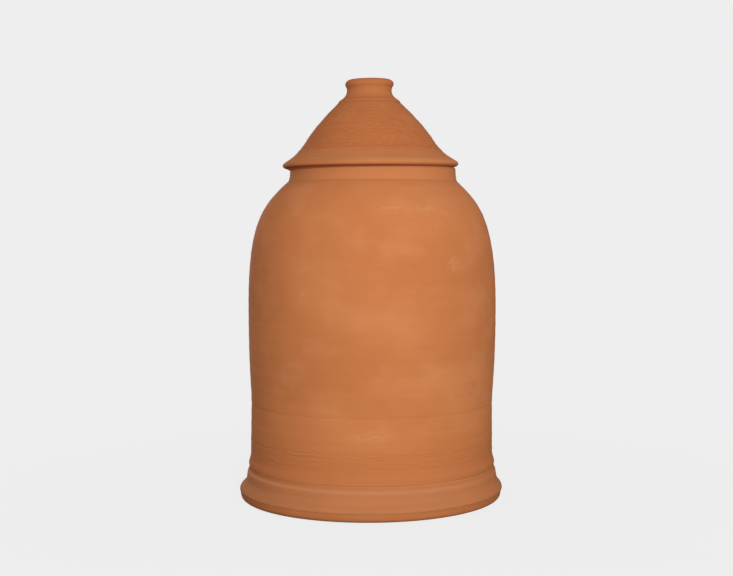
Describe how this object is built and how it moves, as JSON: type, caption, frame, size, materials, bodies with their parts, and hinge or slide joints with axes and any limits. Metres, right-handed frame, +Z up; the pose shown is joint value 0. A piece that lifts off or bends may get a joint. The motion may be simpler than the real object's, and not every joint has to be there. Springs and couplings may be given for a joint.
{
  "type": "rhubarb forcer",
  "caption": "Tall open-footed terracotta bell with a rolled foot and upright neck, closed by a loose conical lid with a spool-shaped knob.",
  "frame": {"origin": "centre of the ring that the bell stands on", "axes": "+Z up along the bell's axis, +X to the viewer's right, -Y towards the viewer"},
  "size_m": [0.3664, 0.3664, 0.58],
  "materials": {
    "terracotta": "matte",
    "red_terracotta": "matte"
  },
  "bodies": {
    "bell": {"foot_band": "terracotta", "lower_wall": "terracotta", "upper_wall": "terracotta", "neck_collar": "terracotta"},
    "lid": {"lid_dome": "red_terracotta", "lid_flange": "red_terracotta", "lid_knob": "red_terracotta"}
  },
  "joints": [
    {"name": "lid_lift", "type": "slide", "parent": "bell", "child": "lid", "axis": [0, 0, 1], "range_m": [0, 0.18]}
  ]
}
